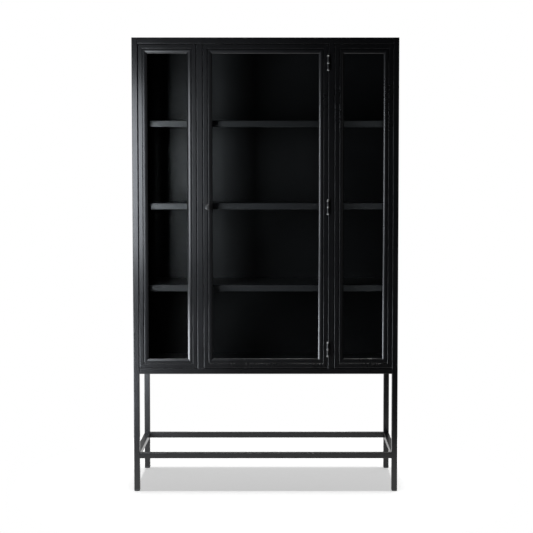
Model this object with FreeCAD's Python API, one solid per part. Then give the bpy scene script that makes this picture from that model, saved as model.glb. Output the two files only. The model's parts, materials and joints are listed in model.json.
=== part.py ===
import FreeCAD, Part
import math
import os

# Tall glazed display cabinet on an open stand, in millimetres.
# +X is to the right of someone who faces the cabinet, -Y is its front and +Z is up.
# The origin is on the floor, under the middle of the cabinet's bounding box.

# Stand and carcass
width = 1170.0
frame_depth = 455.0
height = 2005.0
tube_size = 25.0
tube_wall = 1.5
tube_corner = 2.0
tube_inner_corner = 0.5
stretcher_bottom = 148.0
cabinet_bottom = 526.0
glide_height = 9.0
glide_rounding = 6.0
glide_plug_height = 14.0
glide_plug_play = 0.2

# Sheet metal
top_sheet = 1.5
sheet = 1.2
sheet_bend = 2.0
sheet_inner_bend = 0.8
side_panel_recess = 6.0
back_panel_overlap = 13.0
bottom_flange = 18.0
panel_play = 0.3

# Shelves
shelf_pitch = 365.0
shelf_count = 3
shelf_set_back = 60.0
shelf_lip = 28.0
shelf_return = 12.0
shelf_rear_flange = 15.0
shelf_side_play = 2.8
shelf_post_play = 3.0
cleat_leg = 18.0
cleat_thickness = 2.0
cleat_front_play = 3.0

# Glazed sashes and door: u runs from the outer edge towards the glass, v from the front backwards
sash_gap = 3.0
bay_width = 253.0
frame_face = 18.0
step_depth = 5.0
frame_width = 30.0
member_depth = 25.0
member_width = 40.0
edge_radius = 1.5
moulding_start = 21.0
moulding_front = 0.8
moulding_crown = 33.5
moulding_slope_end = 6.8
moulding_back = 11.0
moulding_rounding = 18.5
moulding_inner_edge = 0.75
gasket_thickness = 1.0
gasket_margin = 1.0
glass_thickness = 4.0
glass_play = 2.0
glass_chamfer = 0.5
strip_width = 7.0
strip_thickness = 8.0
sash_rail_screws = 2
door_rail_screws = 3

# Screws
screw_shank = 1.95
screw_hole = 2.0
screw_clearance = 2.15
screw_head_radius = 3.6
screw_head_height = 2.2
screw_head_rounding = 1.3
recess_length = 4.2
recess_width = 0.9
recess_depth = 1.2
fixing_plate_width = 30.0
fixing_plate_height = 44.0
fixing_plate_thickness = 2.0
fixing_screw_offset = 8.5
fixing_end_distance = 220.0
fixings_per_side = 3
strip_screw_from_corner = (50.0, 70.0)
strip_screws_per_stile = 4
back_screws = (5, 6)
catch_screw_spacing = 24.0
strip_screw_bite = 6.0
sheet_screw_bite = 8.0

# Hinges: two barrels on a pin, with a ring between them and a ball at each end
hinge_count = 3
hinge_end_distance = 82.0
hinge_clearance = 0.3
barrel_radius = 3.9
barrel_reach = 26.2
ball_radius = 5.4
ball_reach = 29.0
ring_radius = 5.3
ring_height = 7.0
ring_play = 0.2
pin_radius = 2.2
pin_running_clearance = 0.05
pin_reach = 22.0
leaf_thickness = 1.2
leaf_reach = 20.0

# Knob and catches
knob_projection = 24.0
knob_radius = 12.5
knob_base = (7.5, 2.5)
knob_neck_radius = 4.5
knob_neck = (4.5, 10.5)
knob_head = (13.5, 19.5)
knob_crown_radius = 7.0
knob_base_roundings = (0.5, 1.0)
knob_neck_roundings = (2.0, 3.0)
knob_head_roundings = (2.5, 3.5, 5.0)
knob_from_edge = 19.0
knob_thread_depth = 12.0
knob_screw_play = 2.0
catch_from_end = 100.0
catch_height = 40.0
catch_flange_back = 29.5
catch_flange_inset = (2.0, 0.5)
catch_block = (28.0, 40.0)
catch_block_root = 3.0
catch_block_reach = 27.0
magnet_height = 28.0
magnet_reach = (4.0, 24.0)
magnet_front = 26.7
magnet_back = 36.0
strike_thickness = 1.2
strike_height = 34.0

# Where things lie, worked out from the sizes above
half_width = width / 2
post_inside = half_width - tube_size
total_depth = knob_projection + frame_depth + sheet + screw_head_height
front = knob_projection - total_depth / 2
rear = front + frame_depth
post_top = height - top_sheet
opening_bottom = cabinet_bottom + tube_size
opening_top = post_top - tube_size
sash_z = (opening_bottom + sash_gap, opening_top - sash_gap)
sash_inside = post_inside - sash_gap - bay_width
mullion_outside = sash_inside - sash_gap
mullion_inside = mullion_outside - tube_size
door_half = mullion_inside - sash_gap
panel_outside = half_width - side_panel_recess
panel_inside = panel_outside - sheet
shelf_tops = [opening_bottom + shelf_pitch * level for level in range(1, shelf_count + 1)]
left_bay_x = (-post_inside + sash_gap, -sash_inside)
right_bay_x = (sash_inside, post_inside - sash_gap)
door_x = (-door_half, door_half)
glass_front = moulding_back + gasket_thickness
glass_back = glass_front + glass_thickness
pin_x = door_half + sash_gap / 2
pin_depth = -ball_radius - hinge_clearance

Vector = FreeCAD.Vector
RIGHTWARD = Vector(1, 0, 0)
LEFTWARD = Vector(-1, 0, 0)
BACKWARD = Vector(0, 1, 0)
UPWARD = Vector(0, 0, 1)
DOWNWARD = Vector(0, 0, -1)
FORWARD = Vector(0, -1, 0)


def deep(v):
    """The Y of a point v millimetres behind the cabinet's front plane."""
    return front + v


def save(name, shape):
    shape.exportStep("parts/" + name + ".step")


def group(shapes):
    return Part.makeCompound(shapes)


def block(x_range, y_range, z_range):
    """A box from its low and high X, Y and Z."""
    ranges = (x_range, y_range, z_range)
    corner = Vector(*[min(limits) for limits in ranges])
    lengths = [abs(limits[1] - limits[0]) for limits in ranges]
    return Part.makeBox(*lengths, corner)


def mirrored(x_range, side):
    """An X range given for the right half, moved to side 1 (right) or -1 (left)."""
    return tuple(sorted(side * x for x in x_range))


def rounded_wire(corners, place):
    """A closed wire through corners (u, v, radius); place turns u and v into a point."""
    turns = []
    for index, (u, v, radius) in enumerate(corners):
        here = place(u, v)
        before = place(*corners[index - 1][:2]) - here
        after = place(*corners[(index + 1) % len(corners)][:2]) - here
        if radius == 0:
            turns.append((here, None, here))
            continue
        before.normalize()
        after.normalize()
        half_angle = before.getAngle(after) / 2
        reach = radius / math.tan(half_angle)
        bisector = before + after
        bisector.normalize()
        middle = here + bisector * (radius / math.sin(half_angle) - radius)
        turns.append((here + before * reach, middle, here + after * reach))
    edges = []
    for index, (start, middle, end) in enumerate(turns):
        if middle is not None:
            edges.append(Part.Arc(start, middle, end).toShape())
        following = turns[(index + 1) % len(turns)][0]
        edges.append(Part.LineSegment(end, following).toShape())
    return Part.Wire(edges)


def prism(corners, place, run):
    """The outline given by corners, extruded along the vector run."""
    return Part.Face(rounded_wire(corners, place)).extrude(run)


def rectangle(u_range, v_range, radius):
    (u0, u1), (v0, v1) = u_range, v_range
    return [(u0, v0, radius), (u1, v0, radius), (u1, v1, radius), (u0, v1, radius)]


def tube(ranges, run):
    """A square tube that fills a box, open at both ends of axis run (0 is X, 1 is Y, 2 is Z)."""
    across, other = [axis for axis in range(3) if axis != run]
    low, high = ranges[run]

    def place(u, v):
        point = [0.0, 0.0, 0.0]
        point[run] = low
        point[across] = u
        point[other] = v
        return Vector(*point)

    def bar(inset, radius):
        u_range = (ranges[across][0] + inset, ranges[across][1] - inset)
        v_range = (ranges[other][0] + inset, ranges[other][1] - inset)
        length = (RIGHTWARD, BACKWARD, UPWARD)[run] * (high - low)
        return prism(rectangle(u_range, v_range, radius), place, length)

    return bar(0, tube_corner).cut(bar(tube_wall, tube_inner_corner))


def mitred_member(side, x_range, z_range, corners, hollow=None):
    """One side of a rectangular frame, with mitred ends, from a section given as (u, v, radius)."""
    (x0, x1), (z0, z1) = x_range, z_range
    places = {
        "left": lambda u, v: Vector(x0 + u, deep(v), z0),
        "right": lambda u, v: Vector(x1 - u, deep(v), z0),
        "bottom": lambda u, v: Vector(x0, deep(v), z0 + u),
        "top": lambda u, v: Vector(x0, deep(v), z1 - u),
    }
    upright = side in ("left", "right")
    run = UPWARD * (z1 - z0) if upright else RIGHTWARD * (x1 - x0)
    member = prism(corners, places[side], run)
    if hollow:
        member = member.cut(prism(hollow, places[side], run))
    reach = member_width + 1
    inner_x = (x0 + reach, x1 - reach)
    inner_z = (z0 + reach, z1 - reach)
    mitres = {
        "left": [(x0, z0), (inner_x[0], inner_z[0]), (inner_x[0], inner_z[1]), (x0, z1)],
        "right": [(x1, z0), (inner_x[1], inner_z[0]), (inner_x[1], inner_z[1]), (x1, z1)],
        "bottom": [(x0, z0), (inner_x[0], inner_z[0]), (inner_x[1], inner_z[0]), (x1, z0)],
        "top": [(x0, z1), (inner_x[0], inner_z[1]), (inner_x[1], inner_z[1]), (x1, z1)],
    }
    outline = [(x, z, 0) for x, z in mitres[side]]
    mitre = prism(outline, lambda x, z: Vector(x, front, z), BACKWARD * member_depth)
    return member.common(mitre)


SIDES = ("left", "right", "bottom", "top")


def frame_section():
    """The rolled steel section of a sash or door frame: its outline and its hollow."""
    outline = [
        (0, 0, edge_radius),
        (frame_face, 0, edge_radius),
        (frame_face, step_depth, 0),
        (frame_width, step_depth, 0),
        (frame_width, member_depth, edge_radius),
        (0, member_depth, edge_radius),
    ]
    wall = tube_wall
    hollow = [
        (wall, wall, 0),
        (frame_face - wall, wall, 0),
        (frame_face - wall, step_depth + wall, 0),
        (frame_width - wall, step_depth + wall, 0),
        (frame_width - wall, member_depth - wall, 0),
        (wall, member_depth - wall, 0),
    ]
    return outline, hollow


def moulding_section():
    """The moulding in front of the glass, rounded over from its flat down to its inner edge."""
    return [
        (moulding_start, step_depth, 0),
        (moulding_start, moulding_front, edge_radius),
        (moulding_crown, moulding_front, moulding_rounding),
        (member_width, moulding_slope_end, moulding_inner_edge),
        (member_width, moulding_back, 0),
        (frame_width, moulding_back, 0),
        (frame_width, step_depth, 0),
    ]


def mitred_set(x_range, z_range, section):
    return [mitred_member(side, x_range, z_range, section) for side in SIDES]


def placed(shape, at, direction):
    """A shape built along +Z at the origin, turned to a direction and moved to a point."""
    turned = shape.copy()
    turned.Placement = FreeCAD.Placement(Vector(*at), FreeCAD.Rotation(UPWARD, direction))
    return turned


def pan_screw(length):
    """A cross-recess pan-head screw, head up, with the underside of its head at the origin."""
    head = Part.makeCylinder(screw_head_radius, screw_head_height)
    top_edges = [edge for edge in head.Edges if edge.BoundBox.ZMin > screw_head_height / 2]
    head = head.makeFillet(screw_head_rounding, top_edges)
    half_length = recess_length / 2
    half_slot = recess_width / 2
    recess_z = (screw_head_height - recess_depth, screw_head_height)
    for x_reach, y_reach in ((half_length, half_slot), (half_slot, half_length)):
        head = head.cut(block((-x_reach, x_reach), (-y_reach, y_reach), recess_z))
    shank = Part.makeCylinder(screw_shank, length, Vector(0, 0, 0), DOWNWARD)
    return head.fuse(shank).removeSplitter()


def screws_at(places, length):
    """Screws from places (point, direction that the head faces)."""
    pattern = pan_screw(length)
    return [placed(pattern, at, direction) for at, direction in places]


def drilled(shape, places, radius, depth):
    """A shape with a hole bored at each place, against the direction that the head faces."""
    for at, direction in places:
        start = Vector(*at) + direction
        shape = shape.cut(Part.makeCylinder(radius, depth + 1, start, direction * -1))
    return shape


def spread(low, high, count):
    """Evenly spaced values from low to high."""
    return [low + (high - low) * index / (count - 1) for index in range(count)]


# Places of the screws that hold the sashes, the glazing strips, the back panel and the catches


def fixing_places(side):
    """Middles of the plates that tie a fixed sash to the post and to the mullion beside it."""
    ends = (sash_z[0] + fixing_end_distance, sash_z[1] - fixing_end_distance)
    heights = spread(*ends, fixings_per_side)
    gaps = (side * (post_inside - sash_gap / 2), side * (sash_inside - sash_gap / 2))
    return [(x, z) for x in gaps for z in heights]


def fixing_screw_places(side):
    y = deep(member_depth + fixing_plate_thickness)
    return [
        ((x + shift, y, z), BACKWARD)
        for x, z in fixing_places(side)
        for shift in (-fixing_screw_offset, fixing_screw_offset)
    ]


def strip_screw_places(x_range, per_rail):
    """Screws through the glazing strips into the side walls of the frame around them."""
    y = deep(glass_back + strip_thickness / 2)
    inset = frame_width + strip_width
    x_inner = (x_range[0] + inset, x_range[1] - inset)
    z_inner = (sash_z[0] + inset, sash_z[1] - inset)
    x_end, z_end = strip_screw_from_corner
    heights = spread(z_inner[0] + z_end, z_inner[1] - z_end, strip_screws_per_stile)
    columns = spread(x_inner[0] + x_end, x_inner[1] - x_end, per_rail)
    places = [((x_inner[0], y, z), RIGHTWARD) for z in heights]
    places += [((x_inner[1], y, z), LEFTWARD) for z in heights]
    places += [((x, y, z_inner[0]), UPWARD) for x in columns]
    places += [((x, y, z_inner[1]), DOWNWARD) for x in columns]
    return places


def back_screw_places():
    y = rear + sheet
    x_edge = post_inside + back_panel_overlap / 2
    z_low = opening_bottom - back_panel_overlap / 2
    z_high = opening_top + back_panel_overlap / 2
    across, up = back_screws
    heights = spread(z_low, z_high, up)
    columns = spread(-x_edge, x_edge, across)[1:-1]
    places = [((x, y, z), BACKWARD) for x in (-x_edge, x_edge) for z in heights[1:-1]]
    places += [((x, y, z), BACKWARD) for x in columns for z in (z_low, z_high)]
    return places


def catch_heights():
    return (sash_z[0] + catch_from_end, sash_z[1] - catch_from_end)


def catch_screw_places():
    x = -(mullion_inside + tube_size / 2)
    y = deep(catch_flange_back)
    half = catch_screw_spacing / 2
    return [((x, y, z + step), BACKWARD) for z in catch_heights() for step in (-half, half)]


def knob_place():
    return (-door_half + knob_from_edge, sum(sash_z) / 2)


# Stand and carcass


def post(side, y_range):
    x_range = mirrored((post_inside, half_width), side)
    shape = tube((x_range, y_range, (glide_height, post_top)), 2)
    shape = drilled(shape, back_screw_places(), screw_hole, sheet + tube_wall)
    return drilled(shape, fixing_screw_places(side), screw_hole, fixing_plate_thickness + tube_wall)


def cross_rail(y_range, z_range):
    shape = tube(((-post_inside, post_inside), y_range, z_range), 0)
    return drilled(shape, back_screw_places(), screw_hole, sheet + tube_wall)


def side_rail(side, z_range):
    x_range = mirrored((post_inside, half_width), side)
    return tube((x_range, (front + tube_size, rear - tube_size), z_range), 1)


def mullion(side):
    x_range = mirrored((mullion_inside, mullion_outside), side)
    y_range = (front, front + tube_size)
    shape = tube((x_range, y_range, (opening_bottom, opening_top)), 2)
    shape = drilled(shape, fixing_screw_places(side), screw_hole, fixing_plate_thickness + tube_wall)
    if side < 0:
        hole_depth = catch_flange_back - member_depth + tube_wall
        shape = drilled(shape, catch_screw_places(), screw_hole, hole_depth)
    return shape


def foot_glide(side, y_range):
    """A plastic glide that closes a leg, rounded all round where it meets the floor."""
    x_range = mirrored((post_inside, half_width), side)
    z_top = glide_height
    (x0, x1), (y0, y1) = x_range, y_range
    front_view = [(x0, 0, glide_rounding), (x1, 0, glide_rounding), (x1, z_top, 0), (x0, z_top, 0)]
    side_view = [(y0, 0, glide_rounding), (y1, 0, glide_rounding), (y1, z_top, 0), (y0, z_top, 0)]
    plan = rectangle(x_range, y_range, tube_corner)
    cap = prism(front_view, lambda u, v: Vector(u, y0, v), BACKWARD * tube_size)
    cap = cap.common(prism(side_view, lambda u, v: Vector(x0, u, v), RIGHTWARD * tube_size))
    cap = cap.common(prism(plan, lambda u, v: Vector(u, v, 0), UPWARD * z_top))
    inset = tube_wall + glide_plug_play
    plug = block(
        (x0 + inset, x1 - inset),
        (y0 + inset, y1 - inset),
        (z_top - 1, z_top + glide_plug_height),
    )
    return cap.fuse(plug).removeSplitter()


def build_stand():
    front_y = (front, front + tube_size)
    rear_y = (rear - tube_size, rear)
    top_z = (opening_top, post_top)
    bottom_z = (cabinet_bottom, opening_bottom)
    stretcher_z = (stretcher_bottom, stretcher_bottom + tube_size)
    glides = []
    for row, y_range in (("front", front_y), ("rear", rear_y)):
        for name, side in (("left", -1), ("right", 1)):
            save("post_" + row + "_" + name, post(side, y_range))
            glides.append(foot_glide(side, y_range))
        save("top_rail_" + row, cross_rail(y_range, top_z))
        save("bottom_rail_" + row, cross_rail(y_range, bottom_z))
        save("stretcher_" + row, cross_rail(y_range, stretcher_z))
    for name, side in (("left", -1), ("right", 1)):
        save("top_rail_" + name, side_rail(side, top_z))
        save("bottom_rail_" + name, side_rail(side, bottom_z))
        save("stretcher_" + name, side_rail(side, stretcher_z))
        save("mullion_" + name, mullion(side))
    save("foot_glides", group(glides))


# Sheet-metal panels


def top_panel():
    """A flat sheet welded over the top frame, which closes the ends of the posts."""
    shape = block((-half_width, half_width), (front, rear), (post_top, height))
    upright = [edge for edge in shape.Edges if edge.BoundBox.ZLength > top_sheet / 2]
    return shape.makeFillet(tube_corner, upright)


def bottom_panel():
    """A folded tray that lies in the bottom frame, flush with the top of its rails."""
    x_reach = post_inside - panel_play
    y_range = (front + tube_size + panel_play, rear - tube_size - panel_play)
    z_range = (opening_bottom - bottom_flange, opening_bottom)
    outer = block((-x_reach, x_reach), y_range, z_range)
    bends = [edge for edge in outer.Edges if edge.BoundBox.ZMax > opening_bottom - 1]
    outer = outer.makeFillet(sheet_bend, bends)
    inner = block(
        (-x_reach + sheet, x_reach - sheet),
        (y_range[0] + sheet, y_range[1] - sheet),
        (z_range[0] - 1, z_range[1] - sheet),
    )
    return outer.cut(inner)


def back_panel():
    x_reach = post_inside + back_panel_overlap
    z_range = (opening_bottom - back_panel_overlap, opening_top + back_panel_overlap)
    corners = rectangle((-x_reach, x_reach), z_range, tube_corner)
    shape = prism(corners, lambda x, z: Vector(x, rear, z), BACKWARD * sheet)
    return drilled(shape, back_screw_places(), screw_clearance, sheet)


def side_panel(side):
    x_range = mirrored((panel_inside, panel_outside), side)
    return block(x_range, (front + tube_size, rear - tube_size), (opening_bottom, opening_top))


def build_panels():
    save("top_panel", top_panel())
    save("bottom_panel", bottom_panel())
    save("back_panel", back_panel())
    save("side_panel_left", side_panel(-1))
    save("side_panel_right", side_panel(1))
    save("back_panel_screws", group(screws_at(back_screw_places(), sheet + sheet_screw_bite)))


# Shelves


def shelf(top):
    """A folded shelf with a deep front lip, notched at the back round the rear posts."""
    y0 = front + shelf_set_back
    y1 = rear - panel_play
    lip_bottom = top - shelf_lip
    section = [
        (y0, top, sheet_bend),
        (y1, top, sheet_bend),
        (y1, top - shelf_rear_flange, 0),
        (y1 - sheet, top - shelf_rear_flange, 0),
        (y1 - sheet, top - sheet, sheet_inner_bend),
        (y0 + sheet, top - sheet, sheet_inner_bend),
        (y0 + sheet, lip_bottom + sheet, sheet_inner_bend),
        (y0 + shelf_return, lip_bottom + sheet, 0),
        (y0 + shelf_return, lip_bottom, 0),
        (y0, lip_bottom, sheet_bend),
    ]
    x_reach = panel_inside - shelf_side_play
    folded = prism(section, lambda y, z: Vector(-x_reach, y, z), RIGHTWARD * (2 * x_reach))
    notch_y = (rear - tube_size - shelf_post_play, rear + 1)
    for side in (-1, 1):
        notch_x = mirrored((post_inside - shelf_post_play, x_reach + 1), side)
        folded = folded.cut(block(notch_x, notch_y, (lip_bottom, top + 1)))
    return folded


def shelf_cleat(side, top):
    """A steel angle on the side panel, which a shelf rests on."""
    ledge = top - sheet
    y_range = (
        front + shelf_set_back + shelf_return + cleat_front_play,
        rear - tube_size - shelf_post_play,
    )
    ledge_x = mirrored((panel_inside - cleat_leg, panel_inside), side)
    wall_x = mirrored((panel_inside - cleat_thickness, panel_inside), side)
    angle = block(ledge_x, y_range, (ledge - cleat_thickness, ledge))
    angle = angle.fuse(block(wall_x, y_range, (ledge - cleat_leg, ledge)))
    return angle.removeSplitter()


def build_shelves():
    for name, top in zip(("lower", "middle", "upper"), shelf_tops):
        save("shelf_" + name, shelf(top))
    save("shelf_cleats", group([shelf_cleat(side, top) for side in (-1, 1) for top in shelf_tops]))


# Glazing, the same in the fixed sashes and in the door


def glazing_gasket(x_range):
    u_range = (frame_width + gasket_margin, member_width - gasket_margin)
    return group(mitred_set(x_range, sash_z, rectangle(u_range, (moulding_back, glass_front), 0)))


def glass_pane(x_range):
    inset = frame_width + glass_play
    pane = block(
        (x_range[0] + inset, x_range[1] - inset),
        (deep(glass_front), deep(glass_back)),
        (sash_z[0] + inset, sash_z[1] - inset),
    )
    return pane.makeChamfer(glass_chamfer, pane.Edges)


def glazing_strips(x_range, per_rail):
    u_range = (frame_width, frame_width + strip_width)
    v_range = (glass_back, glass_back + strip_thickness)
    bars = mitred_set(x_range, sash_z, rectangle(u_range, v_range, 0))
    places = strip_screw_places(x_range, per_rail)
    return group([drilled(bar, places, screw_clearance, strip_width) for bar in bars])


def frame_members(x_range, per_rail, other_holes):
    """The four mitred frame members by side, drilled for the glazing strips and other_holes."""
    outline, hollow = frame_section()
    places = strip_screw_places(x_range, per_rail)
    members = {}
    for side in SIDES:
        member = mitred_member(side, x_range, sash_z, outline, hollow)
        member = drilled(member, places, screw_hole, strip_width + tube_wall)
        members[side] = drilled(member, other_holes, screw_hole, fixing_plate_thickness + tube_wall)
    return members


def build_glazing(name, x_range, per_rail):
    save(name + "_moulding", group(mitred_set(x_range, sash_z, moulding_section())))
    save(name + "_gasket", glazing_gasket(x_range))
    save(name + "_glass", glass_pane(x_range))
    save(name + "_glazing_strips", glazing_strips(x_range, per_rail))


def build_sashes():
    screws = []
    plates = []
    for name, side, x_range in (("left_sash", -1, left_bay_x), ("right_sash", 1, right_bay_x)):
        fixing_screws = fixing_screw_places(side)
        members = frame_members(x_range, sash_rail_screws, fixing_screws)
        save(name + "_frame", group(list(members.values())))
        build_glazing(name, x_range, sash_rail_screws)
        strip_screws = strip_screw_places(x_range, sash_rail_screws)
        screws += screws_at(strip_screws, strip_width + strip_screw_bite)
        screws += screws_at(fixing_screws, fixing_plate_thickness + sheet_screw_bite)
        for x, z in fixing_places(side):
            plate = block(
                (x - fixing_plate_width / 2, x + fixing_plate_width / 2),
                (deep(member_depth), deep(member_depth + fixing_plate_thickness)),
                (z - fixing_plate_height / 2, z + fixing_plate_height / 2),
            )
            plates.append(drilled(plate, fixing_screws, screw_clearance, fixing_plate_thickness))
    save("sash_fixing_plates", group(plates))
    save("sash_screws", group(screws))


# Door


def turned_knob():
    """A turned knob on a small base, built along +Z from the face that it sits on."""
    base_radius, base_height = knob_base
    profile = [
        (0, 0, 0),
        (base_radius, 0, knob_base_roundings[0]),
        (base_radius, base_height, knob_base_roundings[1]),
        (knob_neck_radius, knob_neck[0], knob_neck_roundings[0]),
        (knob_neck_radius, knob_neck[1], knob_neck_roundings[1]),
        (knob_radius, knob_head[0], knob_head_roundings[0]),
        (knob_radius, knob_head[1], knob_head_roundings[1]),
        (knob_crown_radius, knob_projection, knob_head_roundings[2]),
        (0, knob_projection, 0),
    ]
    face = Part.Face(rounded_wire(profile, lambda r, h: Vector(r, 0, h)))
    knob = face.revolve(Vector(0, 0, 0), UPWARD, 360)
    return knob.cut(Part.makeCylinder(screw_hole, knob_thread_depth))


def build_knob():
    x, z = knob_place()
    save("knob", placed(turned_knob(), (x, front, z), FORWARD))
    length = member_depth + knob_thread_depth - knob_screw_play
    save("knob_screw", placed(pan_screw(length), (x, deep(member_depth), z), BACKWARD))


def strike_plate(z):
    """The steel plate on the back of the door that a catch's magnet holds."""
    x_range = (-door_half + magnet_reach[0], -door_half + magnet_reach[1])
    y_range = (deep(member_depth), deep(member_depth + strike_thickness))
    return block(x_range, y_range, (z - strike_height / 2, z + strike_height / 2))


def build_door():
    x, z = knob_place()
    members = frame_members(door_x, door_rail_screws, [])
    knob_hole = [((x, deep(member_depth), z), BACKWARD)]
    members["left"] = drilled(members["left"], knob_hole, screw_clearance, member_depth + 1)
    save("door_stile_latch", members["left"])
    save("door_stile_hinge", members["right"])
    save("door_rail_bottom", members["bottom"])
    save("door_rail_top", members["top"])
    build_glazing("door", door_x, door_rail_screws)
    strip_screws = strip_screw_places(door_x, door_rail_screws)
    save("door_screws", group(screws_at(strip_screws, strip_width + strip_screw_bite)))
    save("door_strike_plates", group([strike_plate(height_z) for height_z in catch_heights()]))
    build_knob()


# Magnetic catches


def catch_magnet(z):
    x_range = (-door_half + magnet_reach[0], -door_half + magnet_reach[1])
    z_range = (z - magnet_height / 2, z + magnet_height / 2)
    return block(x_range, (deep(magnet_front), deep(magnet_back)), z_range)


def catch_housing(z):
    """A moulded case with a flange on the back of the mullion and a pocket for the magnet."""
    z_range = (z - catch_height / 2, z + catch_height / 2)
    outer, inner = catch_flange_inset
    flange_x = (-mullion_outside + outer, -mullion_inside - inner)
    flange = block(flange_x, (deep(member_depth), deep(catch_flange_back)), z_range)
    block_x = (-mullion_inside - catch_block_root, -door_half + catch_block_reach)
    case = block(block_x, (deep(catch_block[0]), deep(catch_block[1])), z_range)
    shape = flange.fuse(case).removeSplitter().cut(catch_magnet(z))
    return drilled(shape, catch_screw_places(), screw_clearance, catch_flange_back - member_depth)


def build_catches():
    save("catch_housings", group([catch_housing(z) for z in catch_heights()]))
    save("catch_magnets", group([catch_magnet(z) for z in catch_heights()]))
    length = catch_flange_back - member_depth + sheet_screw_bite
    save("catch_screws", group(screws_at(catch_screw_places(), length)))


# Hinges


def hinge_heights():
    return spread(sash_z[0] + hinge_end_distance, sash_z[1] - hinge_end_distance, hinge_count)


def hinge_axis(z):
    return Vector(pin_x, deep(pin_depth), z)


def upright_rod(radius, z_low, z_high):
    """A round bar on the hinge axis between two heights."""
    return Part.makeCylinder(radius, z_high - z_low, hinge_axis(z_low))


def flattened_ball(radius, centre_z, z_low, z_high):
    """The part of a ball on the hinge axis that lies between two heights."""
    return Part.makeSphere(radius, hinge_axis(centre_z)).common(upright_rod(2 * radius, z_low, z_high))


def hinge_leaf(side, z_low, z_high):
    """A leaf in the gap beside the door; side 1 lies on the mullion and -1 on the door's edge."""
    leaf_x = sorted(pin_x + side * (sash_gap / 2 - offset) for offset in (0, leaf_thickness))
    return block(leaf_x, (deep(pin_depth + pin_radius), deep(leaf_reach)), (z_low, z_high))


def hinge_frame_half(z):
    """The lower barrel, bored right through, with its leaf on the mullion."""
    low = z - barrel_reach
    high = z - ring_height / 2 - ring_play
    shape = upright_rod(barrel_radius, low, high).fuse(hinge_leaf(1, low, high))
    bore = upright_rod(pin_radius + pin_running_clearance, low - 1, high + 1)
    return shape.cut(bore).removeSplitter()


def hinge_door_half(z):
    """The upper barrel, closed by a ball, with its leaf on the door's edge."""
    low = z + ring_height / 2 + ring_play
    high = z + barrel_reach
    ball = flattened_ball(ball_radius, z + ball_reach, high, high + 3 * ball_radius)
    shape = upright_rod(barrel_radius, low, high).fuse(hinge_leaf(-1, low, high)).fuse(ball)
    bore = upright_rod(pin_radius + pin_running_clearance, low - 1, z + pin_reach + 1)
    return shape.cut(bore).removeSplitter()


def hinge_pin(z):
    """A pin with a ball below the lower barrel; it runs up through the ring into the upper barrel."""
    ball_top = z - barrel_reach - ring_play
    ball = flattened_ball(ball_radius, z - ball_reach, ball_top - 3 * ball_radius, ball_top)
    return ball.fuse(upright_rod(pin_radius, ball_top - 1, z + pin_reach)).removeSplitter()


def hinge_ring(z):
    """The rounded ring that the upper barrel turns on."""
    ring = flattened_ball(ring_radius, z, z - ring_height / 2, z + ring_height / 2)
    return ring.cut(upright_rod(pin_radius + pin_running_clearance, z - ring_height, z + ring_height))


def build_hinges():
    save("hinge_frame_leaves", group([hinge_frame_half(z) for z in hinge_heights()]))
    save("hinge_door_leaves", group([hinge_door_half(z) for z in hinge_heights()]))
    save("hinge_pins", group([hinge_pin(z) for z in hinge_heights()]))
    save("hinge_rings", group([hinge_ring(z) for z in hinge_heights()]))


os.makedirs("parts", exist_ok=True)
build_stand()
build_panels()
build_shelves()
build_sashes()
build_door()
build_catches()
build_hinges()
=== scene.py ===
import json
import math

import bpy
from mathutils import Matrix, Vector


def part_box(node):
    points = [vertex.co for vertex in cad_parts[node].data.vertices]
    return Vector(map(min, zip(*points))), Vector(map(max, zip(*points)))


# Looks for the glazed display cabinet: paint, glass, metal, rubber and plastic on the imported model,
# a pale studio floor, soft light and the camera. Metres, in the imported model's own frame.

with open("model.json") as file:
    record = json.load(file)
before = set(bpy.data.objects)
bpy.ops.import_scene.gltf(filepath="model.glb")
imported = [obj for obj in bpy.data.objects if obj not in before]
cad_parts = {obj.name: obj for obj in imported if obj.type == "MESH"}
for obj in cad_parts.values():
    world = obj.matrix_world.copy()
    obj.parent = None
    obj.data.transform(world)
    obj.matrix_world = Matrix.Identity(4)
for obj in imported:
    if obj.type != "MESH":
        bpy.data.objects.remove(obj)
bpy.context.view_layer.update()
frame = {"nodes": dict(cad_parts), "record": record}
nodes = frame["nodes"]
front_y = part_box("post_front_left")[0][1]

# Camera
CAMERA_DISTANCE = 5.434
CAMERA_X = 0.0632
CAMERA_HEIGHT = 1.4149
CAMERA_PITCH = math.radians(3.2195)
CAMERA_YAW = math.radians(-0.071)
CAMERA_LENS = 83.515
CAMERA_SENSOR = 36.0
CAMERA_SHIFT = (-0.028, -0.045)
CAMERA_REACH = 200.0

# Studio
FLOOR_RADIUS = 1.15
FLOOR_SIDES = 64
FLOOR_WHITE = 0.8
FLOOR_ROUGHNESS = 0.9
FLOOR_GLOW = 0.49
OVERHEAD_HEIGHT = 6.0
OVERHEAD_STRENGTH = 2.12
OVERHEAD_ANGLE = math.radians(7)
BACKDROP_STRENGTH = 0.4
STUDIO_DARK = 0.0
PLAIN_WHITE = (1.0, 1.0, 1.0)
KEY_TINT = (0.88, 0.93, 1.0)
GLASS_NODES = ("left_sash_glass", "door_glass", "right_sash_glass")
SHELF_NODES = ("shelf_lower", "shelf_middle", "shelf_upper", "shelf_cleats", "bottom_panel")

# Materials: lengths in metres
COAT_EDGE = 0.0016
COAT_PEEL_DEPTH = 0.0004
COAT_WAVE_DEPTH = 0.02
METAL_EDGE = 0.0012
METAL_SCRATCH_DEPTH = 0.0003

# Socket numbers of the Mix node when it mixes colours
MIX_FACTOR, MIX_FIRST, MIX_SECOND, MIX_RESULT = 0, 6, 7, 2


def add_object(name, data):
    piece = bpy.data.objects.new(name, data)
    bpy.context.scene.collection.objects.link(piece)
    return piece


# Shader building


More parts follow.
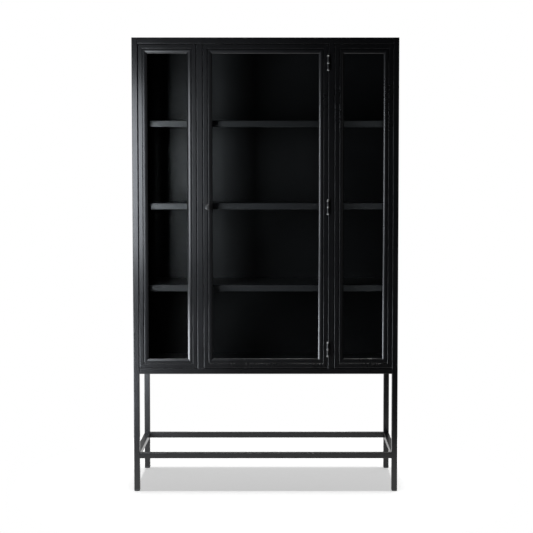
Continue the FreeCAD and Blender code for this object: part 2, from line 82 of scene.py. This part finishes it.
class Tree:
    """A small helper that adds and links the nodes of one material or world."""

    def __init__(self, owner):
        owner.use_nodes = True
        self.nodes = owner.node_tree.nodes
        self.links = owner.node_tree.links
        self.nodes.clear()

    def add(self, kind, values=None, **settings):
        node = self.nodes.new(kind)
        for key, value in settings.items():
            setattr(node, key, value)
        for socket, value in (values or {}).items():
            self.feed(node, socket, value)
        return node

    def feed(self, node, socket, value):
        target = node.inputs[socket]
        if isinstance(value, bpy.types.NodeSocket):
            self.links.new(value, target)
        else:
            target.default_value = value

    def noise(self, scale, detail, roughness, stretch=(1, 1, 1)):
        """Noise in the piece's own coordinates; a stretch below 1 draws it out along that axis."""
        place = self.add("ShaderNodeTexCoord").outputs["Object"]
        if stretch != (1, 1, 1):
            mapping = self.add("ShaderNodeMapping", {"Vector": place, "Scale": stretch})
            place = mapping.outputs["Vector"]
        values = {"Vector": place, "Scale": scale, "Detail": detail, "Roughness": roughness}
        return self.add("ShaderNodeTexNoise", values).outputs["Fac"]

    def span(self, value, from_range, to_range):
        low, high = from_range
        to_low, to_high = to_range
        values = {
            "Value": value,
            "From Min": low,
            "From Max": high,
            "To Min": to_low,
            "To Max": to_high,
        }
        return self.add("ShaderNodeMapRange", values).outputs["Result"]

    def maths(self, operation, first, second=0.0):
        return self.add("ShaderNodeMath", {0: first, 1: second}, operation=operation).outputs[0]

    def mix(self, factor, first, second):
        node = self.add("ShaderNodeMix", data_type="RGBA")
        self.feed(node, MIX_FACTOR, factor)
        self.feed(node, MIX_FIRST, first)
        self.feed(node, MIX_SECOND, second)
        return node.outputs[MIX_RESULT]

    def bump(self, height, strength, distance, normal=None):
        values = {"Height": height, "Strength": strength, "Distance": distance}
        if normal:
            values["Normal"] = normal
        return self.add("ShaderNodeBump", values).outputs["Normal"]

    def principled(self, values):
        """Ends a material's tree in one Principled surface."""
        shader = self.add("ShaderNodeBsdfPrincipled", values)
        self.add("ShaderNodeOutputMaterial", {"Surface": shader.outputs[0]})

    def edge_mask(self, radius):
        """1 where the surface turns an edge of about this radius, 0 on flats."""
        soft = self.add("ShaderNodeBevel", {"Radius": radius}, samples=4).outputs["Normal"]
        sharp = self.add("ShaderNodeNewGeometry").outputs["Normal"]
        dot = self.add("ShaderNodeVectorMath", {0: soft, 1: sharp}, operation="DOT_PRODUCT")
        return self.span(dot.outputs["Value"], (0.995, 0.90), (0.0, 1.0))

    def crown_mask(self):
        """1 on the rounded ends of an upright turned piece, 0 on its straight sides."""
        normal = self.add("ShaderNodeNewGeometry").outputs["Normal"]
        upward = self.add("ShaderNodeSeparateXYZ", {0: normal}).outputs["Z"]
        return self.span(self.maths("ABSOLUTE", upward), (0.1, 0.35), (0.0, 1.0))


def grey(value, blue=0.0):
    """An opaque grey with its blue raised by the share blue, or lowered where that is negative."""
    return (value, value, value * (1 + blue), 1.0)


def powder_coat(name, shade, roughness, wave=0.0, wear=0.5, gloss=0.5):
    """Satin black powder coat: fine orange peel, slow sheet unevenness and rubbed edges."""
    material = bpy.data.materials.new(name)
    tree = Tree(material)
    broad = tree.noise(scale=2.6, detail=3.0, roughness=0.55)
    grit = tree.noise(scale=46.0, detail=6.0, roughness=0.7)
    peel = tree.noise(scale=640.0, detail=2.0, roughness=0.6)
    drift = tree.span(broad, (0.3, 0.7), (0.0, 1.0))
    colour = tree.mix(drift, grey(shade * 0.86, 0.05), grey(shade * 1.15, 0.1))
    edge = tree.edge_mask(COAT_EDGE)
    patchy = tree.span(grit, (0.45, 0.72), (0.0, wear))
    rubbed = tree.maths("MULTIPLY", edge, patchy)
    colour = tree.mix(rubbed, colour, grey(0.16, 0.02))
    uneven = tree.maths("ADD", broad, tree.maths("MULTIPLY", grit, 0.35))
    rough = tree.span(uneven, (0.35, 0.95), (roughness - 0.05, roughness + 0.06))
    rough = tree.maths("SUBTRACT", rough, tree.maths("MULTIPLY", edge, 0.06))
    normal = tree.bump(peel, strength=0.12, distance=COAT_PEEL_DEPTH)
    if wave:
        swell = tree.noise(scale=1.7, detail=1.0, roughness=0.4)
        normal = tree.bump(swell, wave, COAT_WAVE_DEPTH, normal)
    values = {
        "Base Color": colour,
        "Roughness": rough,
        "Normal": normal,
        "IOR": 1.5,
        "Specular IOR Level": gloss,
    }
    tree.principled(values)
    return material


def clear_glass(name):
    """Float glass with a faint film of dust and wiping marks; only its outward side mirrors, by Fresnel."""
    material = bpy.data.materials.new(name)
    tree = Tree(material)
    film = tree.noise(scale=5.0, detail=4.0, roughness=0.6, stretch=(1.0, 1.0, 0.35))
    wipes = tree.noise(scale=24.0, detail=5.0, roughness=0.65, stretch=(1.0, 1.0, 0.12))
    haze = tree.maths("MULTIPLY", film, wipes)
    rough = tree.span(haze, (0.15, 0.4), (0.015, 0.06))
    clear = tree.add("ShaderNodeBsdfTransparent", {"Color": (0.972, 0.984, 0.98, 1.0)})
    shine = tree.add("ShaderNodeBsdfAnisotropic", {"Color": grey(0.95), "Roughness": rough})
    dust = tree.add("ShaderNodeBsdfDiffuse", {"Color": grey(0.55, -0.05)})
    mirror = tree.add("ShaderNodeFresnel", {"IOR": 1.6}).outputs[0]
    inside = tree.add("ShaderNodeNewGeometry").outputs["Backfacing"]
    mirror = tree.maths("MULTIPLY", mirror, tree.maths("SUBTRACT", 1.0, inside))
    pane = tree.add("ShaderNodeMixShader", {0: mirror, 1: clear.outputs[0], 2: shine.outputs[0]})
    dusty = tree.span(haze, (0.18, 0.45), (0.0, 0.006))
    surface = tree.add("ShaderNodeMixShader", {0: dusty, 1: pane.outputs[0], 2: dust.outputs[0]})
    tree.add("ShaderNodeOutputMaterial", {"Surface": surface.outputs[0]})
    return material


def dark_metal(name, shade, bright, roughness, metallic, wear=0.8, worn_crowns=False):
    """Dark or plated metal, rubbed brighter on its edges and, if asked, on its rounded ends."""
    material = bpy.data.materials.new(name)
    tree = Tree(material)
    mottle = tree.noise(scale=160.0, detail=5.0, roughness=0.65)
    scratches = tree.noise(scale=420.0, detail=3.0, roughness=0.7, stretch=(1.0, 1.0, 0.08))
    blotches = tree.span(mottle, (0.35, 0.65), (0.0, 1.0))
    base = tree.mix(blotches, grey(shade * 0.8), grey(shade * 1.25))
    edge = tree.edge_mask(METAL_EDGE)
    rubbed = tree.maths("MULTIPLY", edge, tree.span(mottle, (0.3, 0.7), (wear * 0.4, wear)))
    if worn_crowns:
        crowns = tree.maths("MULTIPLY", tree.crown_mask(), tree.span(mottle, (0.2, 0.6), (0.6, 1.0)))
        rubbed = tree.maths("MAXIMUM", rubbed, crowns)
    colour = tree.mix(rubbed, base, grey(bright, -0.04))
    rough = tree.span(scratches, (0.3, 0.7), (roughness - 0.06, roughness + 0.08))
    normal = tree.bump(scratches, strength=0.15, distance=METAL_SCRATCH_DEPTH)
    tree.principled({"Base Color": colour, "Roughness": rough, "Normal": normal, "Metallic": metallic})
    return material


def moulded(name, shade, roughness, grain, depth):
    """Moulded plastic or rubber with a fine grain."""
    material = bpy.data.materials.new(name)
    tree = Tree(material)
    grains = tree.noise(scale=grain, detail=3.0, roughness=0.6)
    patches = tree.noise(scale=30.0, detail=3.0, roughness=0.5)
    colour = tree.mix(patches, grey(shade * 0.8), grey(shade * 1.3))
    rough = tree.span(patches, (0.3, 0.7), (roughness - 0.06, roughness + 0.06))
    normal = tree.bump(grains, strength=0.25, distance=depth)
    tree.principled({"Base Color": colour, "Roughness": rough, "Normal": normal})
    return material


def dress():
    """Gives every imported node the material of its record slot."""
    looks = {
        "frame_paint": powder_coat("frame_paint", shade=0.006, roughness=0.30),
        "sash_paint": powder_coat("sash_paint", shade=0.006, roughness=0.29),
        "panel_paint": powder_coat(
            "panel_paint", shade=0.008, roughness=0.32, wave=0.12, wear=0.3, gloss=0.36
        ),
        "shelf_paint": powder_coat("shelf_paint", shade=0.015, roughness=0.34, wave=0.05),
        "glass": clear_glass("cabinet_glass"),
        "gasket_rubber": moulded("gasket_rubber", shade=0.012, roughness=0.75, grain=900.0, depth=0.0002),
        "hinge_metal": dark_metal(
            "hinge_metal", shade=0.03, bright=0.45, roughness=0.42, metallic=0.25, worn_crowns=True
        ),
        "knob_metal": dark_metal("knob_metal", shade=0.05, bright=0.35, roughness=0.38, metallic=0.7),
        "screw_metal": dark_metal("screw_metal", shade=0.10, bright=0.4, roughness=0.36, metallic=0.9),
        "glide_plastic": moulded("glide_plastic", shade=0.02, roughness=0.55, grain=700.0, depth=0.0003),
        "catch_plastic": moulded("catch_plastic", shade=0.02, roughness=0.5, grain=700.0, depth=0.0003),
        "magnet": dark_metal("magnet", shade=0.2, bright=0.4, roughness=0.5, metallic=0.6),
        "strike_steel": dark_metal(
            "strike_steel", shade=0.55, bright=0.75, roughness=0.3, metallic=1.0, wear=0.3
        ),
    }
    for entry in frame["record"]["subparts"]:
        for slot in nodes[entry["node"]].material_slots:
            slot.material = looks[entry["material_slot"]]


# Studio


def build_floor():
    """A white disc, lit so evenly that its rim melts into the white surroundings."""
    mesh = bpy.data.meshes.new("studio_floor")
    turns = [2 * math.pi / FLOOR_SIDES * side for side in range(FLOOR_SIDES)]
    rim = [(FLOOR_RADIUS * math.cos(turn), FLOOR_RADIUS * math.sin(turn), 0) for turn in turns]
    mesh.from_pydata(rim, [], [tuple(range(FLOOR_SIDES))])
    material = bpy.data.materials.new("studio_floor")
    tree = Tree(material)
    values = {
        "Base Color": grey(FLOOR_WHITE),
        "Roughness": FLOOR_ROUGHNESS,
        "Specular IOR Level": 0.0,
        "Emission Color": grey(1.0),
        "Emission Strength": FLOOR_GLOW,
    }
    tree.principled(values)
    mesh.materials.append(material)
    floor = add_object("studio_floor", mesh)
    return floor


def build_world():
    """White for the camera; for everything else, a white backdrop behind and a dark studio in front."""
    world = bpy.data.worlds.new("studio")
    bpy.context.scene.world = world
    tree = Tree(world)
    direction = tree.add("ShaderNodeTexCoord").outputs["Generated"]
    axes = tree.add("ShaderNodeSeparateXYZ", {0: direction})
    behind = tree.span(axes.outputs["Y"], (-0.1, 0.25), (STUDIO_DARK, BACKDROP_STRENGTH))
    path = tree.add("ShaderNodeLightPath")
    strength = tree.maths("MAXIMUM", path.outputs["Is Camera Ray"], behind)
    background = tree.add("ShaderNodeBackground", {"Color": grey(1.0), "Strength": strength})
    tree.add("ShaderNodeOutputWorld", {"Surface": background.outputs[0]})


def softbox(name, place, target, across, up, power, tint=PLAIN_WHITE):
    """A lit rectangle of this width and height at place, facing target."""
    data = bpy.data.lights.new(name, "AREA")
    data.shape = "RECTANGLE"
    data.size = across
    data.size_y = up
    data.energy = power
    data.color = tint
    lamp = add_object(name, data)
    lamp.location = place
    lamp.rotation_euler = (Vector(target) - Vector(place)).to_track_quat("-Z", "Y").to_euler()
    return lamp


def link_light(lamps, pieces, state):
    """With state INCLUDE these lamps light only the given pieces; with EXCLUDE, everything but them."""
    receivers = bpy.data.collections.new("light_receivers")
    for piece in pieces:
        receivers.objects.link(piece)
    for entry in receivers.collection_objects:
        entry.light_linking.link_state = state
    for lamp in lamps:
        lamp.light_linking.receiver_collection = receivers


def overhead_light():
    """Straight down and slightly soft: it whitens the floor and leaves the cabinet's own shade under it."""
    data = bpy.data.lights.new("overhead", "SUN")
    data.energy = OVERHEAD_STRENGTH
    data.angle = OVERHEAD_ANGLE
    lamp = add_object("overhead", data)
    lamp.location = (0.0, 0.0, OVERHEAD_HEIGHT)


def build_lights(floor):
    """Two near softboxes on the left for the highlights, and weak fills for what they leave black."""
    left_panel = nodes["side_panel_left"]
    panes = [nodes[name] for name in GLASS_NODES]
    shelves = [nodes[name] for name in SHELF_NODES]
    key = softbox(
        "key_softbox",
        place=(-0.8, -1.1, 1.40),
        target=(-0.4, -0.2, 1.40),
        across=0.4,
        up=0.85,
        power=14.0,
        tint=KEY_TINT,
    )
    low = softbox(
        "low_softbox",
        place=(-1.0, -0.6, 0.45),
        target=(-0.4, -0.2, 0.45),
        across=0.6,
        up=0.5,
        power=19.0,
        tint=KEY_TINT,
    )
    link_light([key, low], panes + [floor, left_panel], "EXCLUDE")
    shelf_fill = softbox(
        "shelf_fill",
        place=(0.52, -1.0, 1.2),
        target=(0.45, 0.0, 1.2),
        across=0.3,
        up=1.3,
        power=0.7,
        tint=KEY_TINT,
    )
    link_light([shelf_fill], shelves, "INCLUDE")
    softbox("front_fill", place=(3.4, -3.6, 1.6), target=(0.2, 0.0, 1.2), across=3.0, up=2.4, power=4.0)
    side_fill = softbox(
        "side_fill",
        place=(3.2, 0.2, 1.4),
        target=(0.5, 0.0, 1.2),
        across=0.8,
        up=2.0,
        power=9.0,
    )
    link_light([side_fill], [floor], "EXCLUDE")
    left_fill = softbox(
        "left_fill",
        place=(-2.7, -2.0, 0.8),
        target=(-0.6, 0.0, 1.1),
        across=0.8,
        up=2.0,
        power=8.0,
    )
    link_light([left_fill], [left_panel], "INCLUDE")
    overhead_light()


def build_camera():
    data = bpy.data.cameras.new("camera")
    data.lens = CAMERA_LENS
    data.sensor_width = CAMERA_SENSOR
    data.shift_x, data.shift_y = CAMERA_SHIFT
    data.clip_end = CAMERA_REACH
    camera = add_object("camera", data)
    camera.location = (CAMERA_X, front_y - CAMERA_DISTANCE, CAMERA_HEIGHT)
    camera.rotation_euler = (math.pi / 2 - CAMERA_PITCH, 0.0, CAMERA_YAW)
    bpy.context.scene.camera = camera


dress()
studio_floor = build_floor()
build_world()
build_lights(studio_floor)
build_camera()
bpy.context.scene.view_settings.view_transform = "Standard"
